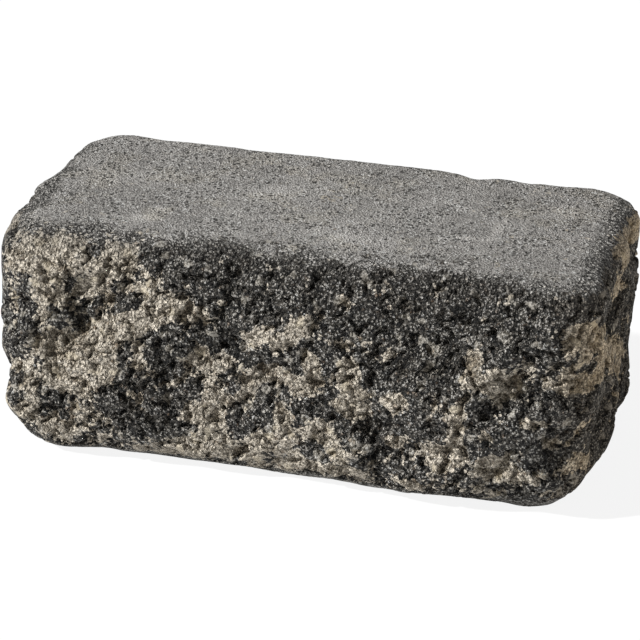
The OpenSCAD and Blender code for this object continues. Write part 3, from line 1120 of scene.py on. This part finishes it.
@dataclass(frozen=True)
class MottledConcrete:
    """Dry-cast concrete of charcoal and cream cement, split into grains or moulded smooth.

    Colours are linear, and lengths are in metres. A tint multiplies the colour under it.
    """

    charcoal_dark: Colour = (0.012, 0.012, 0.011, 1)
    charcoal_light: Colour = (0.430, 0.414, 0.382, 1)
    cream_dark: Colour = (0.330, 0.287, 0.222, 1)
    cream_light: Colour = (0.880, 0.800, 0.672, 1)
    bare_stone: Colour = (0.400, 0.352, 0.262, 1)
    # painted highlight: the glint of lit grains, flecks and crumbs
    painted_highlight: Colour = (0.720, 0.720, 0.700, 1)
    rust: Colour = (0.250, 0.160, 0.090, 1)
    # dust of the worn top arris, also painted light where it lies thicker on the shaded right end
    dust_and_painted_light: Colour = (0.210, 0.198, 0.182, 1)
    # painted warm light on the shaded right end: a warm brown lift for its charcoal and a warm tint for its
    # cream
    painted_warm_light: Colour = (0.225, 0.192, 0.150, 1)
    painted_warm_tint: Colour = (1.14, 1.00, 0.80, 1)
    # painted shade between the grains
    painted_gap_shade_tint: Colour = (0.10, 0.09, 0.075, 1)
    # painted shade in the low hollows of the relief
    painted_hollow_shade: Colour = (0.30, 0.26, 0.20, 1)
    moulded_dark: Colour = (0.045, 0.043, 0.040, 1)
    moulded_light: Colour = (0.446, 0.428, 0.403, 1)
    # painted shade that darkens the top towards the right end
    painted_shade_to_right: Colour = (0.87, 0.865, 0.86, 1)
    stain_tint: Colour = (1.07, 1.03, 0.93, 1)
    ravelled_dark: Colour = (0.110, 0.105, 0.096, 1)
    ravelled_light: Colour = (0.600, 0.576, 0.536, 1)
    # painted shade in pinholes, pores and the gaps between ravelled grains
    painted_pit_shade: Colour = (0.040, 0.038, 0.034, 1)
    grain: float = 1.55 * MM
    sand: float = 1.00 * MM
    pit: float = 2.20 * MM
    dome_height: float = 1.70 * MM
    ragged_height: float = 1.80 * MM
    sand_height: float = 1.80 * MM
    step_height: float = 0.90 * MM  # how much one grain stands over another
    facet_slope: float = 1.9
    skin_height: float = 1.90 * MM
    pinhole_depth: float = 3.20 * MM
    crumb_height: float = 0.90 * MM
    specular: float = 0.35

    def split_body(self, g: Graph, c: Ingredients) -> Tuple[Wire, Wire]:
        """Colour and fine relief of the split body.

        Args:
            g: The graph to build in.
            c: The shared wires.

        Returns:
            The colour and the height.
        """
        edge = g.mark("cream") + (c.red - 0.5) * 0.26 + (c.grit - 0.5) * 0.12 + (c.fine - 0.5) * 0.6
        is_cream = g.rise(edge, 0.43, 0.55)
        bare = g.rise(c.tone, 0.90, 0.93) * 0.7
        charcoal = g.blend(c.shade**1.7, self.charcoal_dark, self.charcoal_light)
        body = g.blend(is_cream, charcoal, g.blend(c.shade, self.cream_dark, self.cream_light))
        # a few grains and sand grains get painted highlights as glints, fewer are rusty, and some stones are
        # bare
        body = g.blend(g.rise(c.blue, 0.93, 0.96) * (1 - is_cream * 0.7) * 0.8, body, self.painted_highlight)
        body = g.blend(g.rise(c.sand_green, 0.88, 0.92) * (1 - is_cream * 0.8) * 0.45, body, self.painted_highlight)
        body = g.blend(g.rise(c.green, 0.965, 0.99) * 0.5, body, self.rust)
        body = g.blend(bare * (0.35 + is_cream * 0.65), body, self.bare_stone)
        # dust below the top arris, thicker on the shaded right end as painted light; then painted warm light
        # there: a warm tint on the cream and a warm brown lift on the charcoal
        body = g.blend(g.mark("worn") * (0.50 + c.faces_right * 0.30), body, self.dust_and_painted_light)
        body = g.tint(c.faces_right * (0.4 + is_cream * 0.4), body, self.painted_warm_tint)
        body = g.blend(c.faces_right * (1 - is_cream) * 0.50, body, self.painted_warm_light)
        # painted shade in the gaps between grains
        body = g.tint(c.gap * (1 - is_cream * 0.62) * (1 - bare), body, self.painted_gap_shade_tint)
        # painted shade in the low hollows of the relief
        body = g.tint(g.mark("deep") * 0.8, body, self.painted_hollow_shade)

        # each grain is a leaning dome, 1 - 1.5 d^2, that stands at a height of its own
        dome = 1 - c.grain * c.grain * 1.5
        height = dome * self.dome_height + c.ragged * self.ragged_height - c.sand * self.sand_height
        height = height + c.facet * self.facet_slope + (c.red - 0.5) * self.step_height
        return body, height * (1 - c.faces_right * 0.4) * (1 - bare)

    def moulded_skin(self, g: Graph, c: Ingredients, rough_height: Wire) -> Tuple[Wire, Wire]:
        """Colour and fine relief of the moulded skin.

        Args:
            g: The graph to build in.
            c: The shared wires.
            rough_height: Relief of the split body, which shows where the skin has ravelled.

        Returns:
            The colour and the height.
        """
        grainy = g.noise(c.place, 1.0 * MM, 1.0, 0.7)
        broad, crowd = g.noise(c.place, 22 * MM, 4.0), g.noise(c.place, 13 * MM, 2.0)
        patchy = (broad - 0.5) * 0.22 + (c.fine - 0.5) * 0.22
        speck = g.rise(grainy * 0.8 + c.sand_green * 0.2 + patchy + g.mark("pale") * 0.5, 0.16, 0.78)
        skin = g.blend(speck, self.moulded_dark, self.moulded_light)
        # painted shade: the top darkens towards the right end
        along, _, _ = g.parts(c.place)
        skin = g.tint(g.rise(along, 10 * MM, 140 * MM), skin, self.painted_shade_to_right)
        stain = g.rise(g.noise(c.place, 26 * MM, 3.0, 0.6), 0.50, 0.62)
        skin = g.tint(stain * 0.45, skin, self.stain_tint)

        # pinholes crowd together in places, painted dark as their shade, and flecks and crumbs with painted
        # highlights lie between them
        frayed = g.mark("frayed")
        pit = g.cells(g.warp(c.place, 1.0 * MM, 0.4 * MM), self.pit)
        pit_red, pit_green, pit_blue = g.parts(pit.sibling("Color"))
        crowded = g.rise(pit_green + (crowd - 0.5) * 2.2 + frayed * 0.35, 0.67, 0.73)
        pinhole = (1 - g.rise(pit + (1 - pit_blue) * 0.24, 0.42, 0.50)) * crowded
        solid = 1 - pinhole
        fleck_highlight = g.rise(c.sand_red + (crowd - 0.5) * 0.5 + frayed * 0.15, 0.90, 0.95) * solid
        skin = g.blend(fleck_highlight * 0.45, skin, self.painted_highlight)
        near_crumb = 1 - g.rise(pit + (1 - pit_green) * 0.2, 0.30, 0.54)
        crumb = near_crumb * g.rise(pit_red, 0.78, 0.84) * solid
        skin = g.blend(crumb * 0.4, skin, self.painted_highlight)
        # painted shade in the pinholes and in the pores of the mesh
        skin = g.blend(pinhole * 0.92, skin, self.painted_pit_shade)
        skin = g.blend(g.mark("pore") * 0.85, skin, self.painted_pit_shade)

        # along the arris the fines are gone and the grains show
        is_frayed = g.rise(frayed + (c.red - 0.5) * 0.5 + (c.fine - 0.5) * 0.9, 0.30, 0.62)
        skin = g.blend(is_frayed * 0.85, skin, g.blend(c.shade, self.ravelled_dark, self.ravelled_light))
        # painted shade in the gaps between the ravelled grains
        skin = g.blend(is_frayed * c.gap * 0.85, skin, self.painted_pit_shade)
        height = grainy * self.skin_height - pinhole * self.pinhole_depth + crumb * self.crumb_height
        return skin, height + is_frayed * rough_height

    def make(self) -> bpy.types.Material:
        """Builds the material.

        Returns:
            The material, which reads the marks that the mesh carries.
        """
        g = Graph(SLOT)
        c = Ingredients(g, self.grain, self.sand)
        body, rough_height = self.split_body(g, c)
        skin, smooth_height = self.moulded_skin(g, c, rough_height)
        is_split = g.rise(g.mark("split") + (c.red - 0.5) * 0.5 + (c.tone - 0.5) * 0.2, 0.22, 0.42)
        roughness = 0.86 + (c.sand_red - 0.5) * 0.14
        height = is_split * rough_height + (1 - is_split) * smooth_height
        return g.finish(g.blend(is_split, skin, body), roughness, height, self.specular)


@dataclass(frozen=True)
class PaleFloor:
    """Plain pale floor that shows the background nearly white and keeps the block's shadow."""

    base: Colour = (0.88, 0.88, 0.88, 1)
    shown: Colour = (1.0, 1.0, 1.0, 1)
    glow_share: float = 0.88

    def make(self) -> bpy.types.Material:
        """Builds the material: diffuse for the light, part glowing for the camera.

        Returns:
            The material.
        """
        g = Graph("pale_floor")
        place = g.add("ShaderNodeTexCoord", {}, {}, "Object")
        faint = g.rise(g.noise(place, 0.4, 2.0), 0.0, 1.0)
        matt = g.add("ShaderNodeBsdfDiffuse", {}, {"Color": g.blend(faint * 0.02, self.base, self.shown)})
        glow = g.add("ShaderNodeEmission", {}, {"Color": self.shown, "Strength": 1.0})
        lit = g.add("ShaderNodeBsdfDiffuse", {}, {"Color": self.shown})
        seen = g.add("ShaderNodeMixShader", {}, {0: self.glow_share, 1: lit, 2: glow})
        rays = g.add("ShaderNodeLightPath", {}, {}, "Is Camera Ray")
        g.add_output(g.add("ShaderNodeMixShader", {}, {0: rays, 1: matt, 2: seen}))
        return g.owner


# ---------------------------------------------------------------- studio


@dataclass(frozen=True)
class Studio:
    """Floor, lamps, world and camera: lengths in metres, angles in degrees, lens in millimetres."""

    floor_half: float = 6.0
    floor_high: float = -0.0003
    key_from: Tuple[float, float, float] = (-0.70, -0.40, 0.54)
    key_strength: float = 5.5
    key_angle: float = 2.0
    side_from: Tuple[float, float, float] = (0.95, 0.30, 0.20)
    side_strength: float = 0.68
    side_angle: float = 40.0
    fill_strength: float = 0.16
    azimuth: float = 14.987
    elevation: float = 25.530
    roll: float = 0.785
    distance: float = 1.762
    lens: float = 200.80
    sensor: float = 36.0
    clip: Tuple[float, float] = (0.05, 50.0)
    shift: Tuple[float, float] = (-0.000612, -0.000087)

    def make_floor(self) -> bpy.types.Object:
        """Makes the floor as one square of mesh, a hair under the bed so that the two don't meet.

        Returns:
            The floor.
        """
        half, high = self.floor_half, self.floor_high
        mesh = bpy.data.meshes.new("floor")
        corners = [(-half, -half, high), (half, -half, high), (half, half, high), (-half, half, high)]
        mesh.from_pydata(corners, [], [(0, 1, 2, 3)])
        mesh.materials.append(PaleFloor().make())
        floor = bpy.data.objects.new("floor", mesh)
        bpy.context.collection.objects.link(floor)
        floor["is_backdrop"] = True
        return floor

    def make_sun(self, name: str, place: Tuple[float, float, float], strength: float, angle: float) -> None:
        """Makes one lamp that shines from a direction.

        Args:
            name: Name of the lamp.
            place: Where the light comes from.
            strength: Its strength.
            angle: How wide it looks from the block, in degrees.
        """
        lamp = bpy.data.lights.new(name, "SUN")
        lamp.energy = strength
        lamp.angle = math.radians(angle)
        sun = bpy.data.objects.new(name, lamp)
        sun.rotation_euler = Vector(place).to_track_quat("Z", "Y").to_euler()
        bpy.context.collection.objects.link(sun)

    def make_lamps(self) -> None:
        """Makes the crisp key lamp on the left and the soft one on the right."""
        self.make_sun("key", self.key_from, self.key_strength, self.key_angle)
        self.make_sun("side", self.side_from, self.side_strength, self.side_angle)

    def make_world(self) -> None:
        """Makes the world: a soft fill for the light, white for the camera."""
        g = Graph("studio", "worlds")
        fill = g.add("ShaderNodeBackground", {}, {"Color": (1, 1, 1, 1), "Strength": self.fill_strength})
        white = g.add("ShaderNodeBackground", {}, {"Color": (1, 1, 1, 1)})
        rays = g.add("ShaderNodeLightPath", {}, {}, "Is Camera Ray")
        g.add_output(g.add("ShaderNodeMixShader", {}, {0: rays, 1: fill, 2: white}), "ShaderNodeOutputWorld")
        bpy.context.scene.world = g.owner

    def make_camera(self, middle: Vector) -> None:
        """Makes the camera.

        It looks at the middle of the block from the given azimuth and elevation, turned by
        the roll and moved sideways by the shift.

        Args:
            middle: Middle of the block.
        """
        a, e, r = (math.radians(x) for x in (self.azimuth, self.elevation, self.roll))
        back = Vector((math.sin(a) * math.cos(e), -math.cos(a) * math.cos(e), math.sin(e)))
        level = Vector((math.cos(a), math.sin(a), 0))
        over = back.cross(level)
        across = level * math.cos(r) + over * math.sin(r)
        over = over * math.cos(r) - level * math.sin(r)
        place = middle + back * self.distance + across * self.shift[0] + over * self.shift[1]
        data = bpy.data.cameras.new("camera")
        data.lens, data.sensor_width = self.lens, self.sensor
        data.clip_start, data.clip_end = self.clip
        camera = bpy.data.objects.new("camera", data)
        camera.matrix_world = Matrix.Translation(place) @ Matrix((across, over, back)).transposed().to_4x4()
        bpy.context.collection.objects.link(camera)
        bpy.context.scene.camera = camera


def corners_of(bounds: Tuple[Vector, Vector]) -> List[List[float]]:
    """Two corners of a box as plain lists."""
    return [[float(x) for x in corner] for corner in bounds]


def main() -> None:
    """Builds the whole scene."""
    logging.basicConfig(level=logging.INFO, format="%(name)s: %(message)s")
    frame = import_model()
    cad_box = corners_of(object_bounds())
    concrete = MottledConcrete().make()
    for grid in BlockSkin().build(frame["nodes"][NODE]):
        make_piece(grid, concrete)
    studio = Studio()
    studio.make_floor()
    studio.make_lamps()
    studio.make_world()
    studio.make_camera((Vector(cad_box[0]) + Vector(cad_box[1])) / 2)
    bpy.context.scene.view_settings.view_transform = "Standard"


if __name__ == "__main__":
    main()
